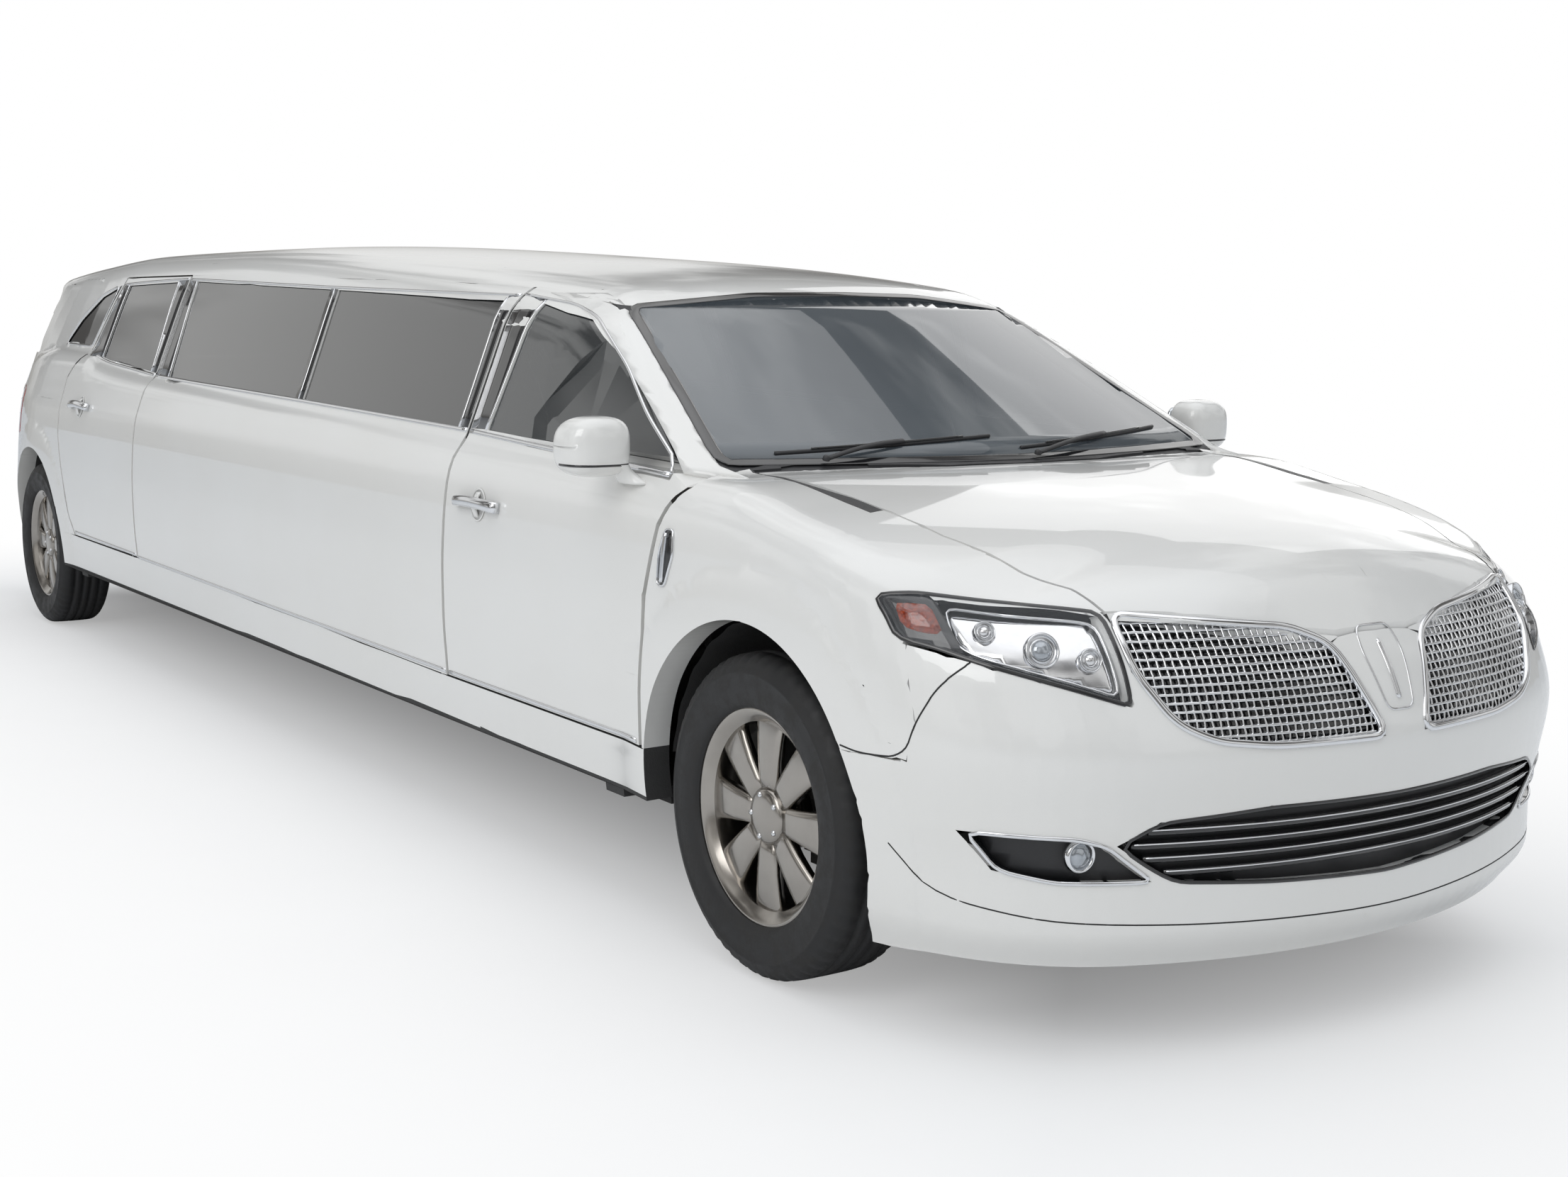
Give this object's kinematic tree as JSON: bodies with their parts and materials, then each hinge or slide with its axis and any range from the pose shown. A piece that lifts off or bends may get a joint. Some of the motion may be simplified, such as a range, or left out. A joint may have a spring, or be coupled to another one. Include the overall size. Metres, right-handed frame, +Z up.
{
  "type": "stretch limousine",
  "caption": "long-wheelbase luxury utility car: fixed stretch section with tinted side glass between hinged front and rear doors, opening hood and tailgate, steered front wheels",
  "frame": {"origin": "ground level under the middle of the car's length and width", "axes": "+X to the car's left, +Y to its rear, +Z up"},
  "size_m": [2.17, 8.3208, 1.7118],
  "materials": {
    "paint": "gloss",
    "dark_glass": "polished",
    "clear_glass": "polished",
    "lamp": "polished",
    "red_lamp": "polished",
    "chrome": "polished",
    "black_trim": "matte",
    "tyre": "matte",
    "rim": "polished",
    "steel": "matte",
    "leather": "satin",
    "interior": "matte",
    "wood": "gloss",
    "carpet": "matte"
  },
  "bodies": {
    "body": {"floor_pan": "carpet", "fender_left": "paint", "fender_right": "paint", "side_panel_left": "paint", "side_panel_right": "paint", "quarter_panel_left": "paint", "quarter_panel_right": "paint", "roof": "paint", "front_bumper": "paint", "rear_bumper": "paint", "sills": "paint", "cowl": "black_trim", "windscreen": "clear_glass", "fixed_glass": "dark_glass", "headlamps": "lamp", "tail_lamps": "red_lamp", "grille": "chrome", "lower_grille": "black_trim", "front_suspension": "steel", "rear_suspension": "steel", "engine": "steel", "fuel_tank": "steel", "front_seats": "leather", "lounge_seat": "leather", "rear_seat": "leather", "bar_console": "wood", "dashboard": "interior", "steering_wheel": "interior"},
    "hood": {"hood": "paint"},
    "tailgate": {"tailgate": "paint", "rear_window": "dark_glass"},
    "front_door_left": {"front_door_left": "paint", "front_door_glass_left": "dark_glass", "mirror_left": "paint"},
    "rear_door_left": {"rear_door_left": "paint", "rear_door_glass_left": "dark_glass"},
    "knuckle_left": {"knuckle_left": "steel"},
    "wheel_front_left": {"rim_front_left": "rim", "tyre_front_left": "tyre"},
    "wheel_rear_left": {"rim_rear_left": "rim", "tyre_rear_left": "tyre"},
    "front_door_right": {"front_door_right": "paint", "front_door_glass_right": "dark_glass", "mirror_right": "paint"},
    "rear_door_right": {"rear_door_right": "paint", "rear_door_glass_right": "dark_glass"},
    "knuckle_right": {"knuckle_right": "steel"},
    "wheel_front_right": {"rim_front_right": "rim", "tyre_front_right": "tyre"},
    "wheel_rear_right": {"rim_rear_right": "rim", "tyre_rear_right": "tyre"}
  },
  "joints": [
    {"name": "hood_hinge", "type": "hinge", "parent": "body", "child": "hood", "pos_m": [0, -2.8665, 1.094], "axis": [-1, 0, 0], "range_deg": [0, 50]},
    {"name": "tailgate_hinge", "type": "hinge", "parent": "body", "child": "tailgate", "pos_m": [0, 3.4997, 1.607], "axis": [1, 0, 0], "range_deg": [0, 75]},
    {"name": "front_door_left_hinge", "type": "hinge", "parent": "body", "child": "front_door_left", "pos_m": [0.931, -2.6203, 0.8], "axis": [0, 0, -1], "range_deg": [0, 65]},
    {"name": "rear_door_left_hinge", "type": "hinge", "parent": "body", "child": "rear_door_left", "pos_m": [0.931, 1.4201, 0.8], "axis": [0, 0, -1], "range_deg": [0, 65]},
    {"name": "steer_left", "type": "hinge", "parent": "body", "child": "knuckle_left", "pos_m": [0.745, -3.1405, 0.37], "axis": [0, 0, 1], "range_deg": [-33, 33]},
    {"name": "wheel_front_left_spin", "type": "hinge", "parent": "knuckle_left", "child": "wheel_front_left", "pos_m": [0.828, -3.1405, 0.37], "axis": [1, 0, 0], "continuous": true},
    {"name": "wheel_rear_left_spin", "type": "hinge", "parent": "body", "child": "wheel_rear_left", "pos_m": [0.828, 2.9025, 0.37], "axis": [1, 0, 0], "continuous": true},
    {"name": "front_door_right_hinge", "type": "hinge", "parent": "body", "child": "front_door_right", "pos_m": [-0.931, -2.6203, 0.8], "axis": [0, 0, 1], "range_deg": [0, 65]},
    {"name": "rear_door_right_hinge", "type": "hinge", "parent": "body", "child": "rear_door_right", "pos_m": [-0.931, 1.4201, 0.8], "axis": [0, 0, 1], "range_deg": [0, 65]},
    {"name": "steer_right", "type": "hinge", "parent": "body", "child": "knuckle_right", "pos_m": [-0.745, -3.1405, 0.37], "axis": [0, 0, 1], "range_deg": [-33, 33]},
    {"name": "wheel_front_right_spin", "type": "hinge", "parent": "knuckle_right", "child": "wheel_front_right", "pos_m": [-0.828, -3.1405, 0.37], "axis": [1, 0, 0], "continuous": true},
    {"name": "wheel_rear_right_spin", "type": "hinge", "parent": "body", "child": "wheel_rear_right", "pos_m": [-0.828, 2.9025, 0.37], "axis": [1, 0, 0], "continuous": true}
  ],
  "couplings": [
    {"joint": "steer_right", "follows": "steer_left", "ratio": 1}
  ]
}
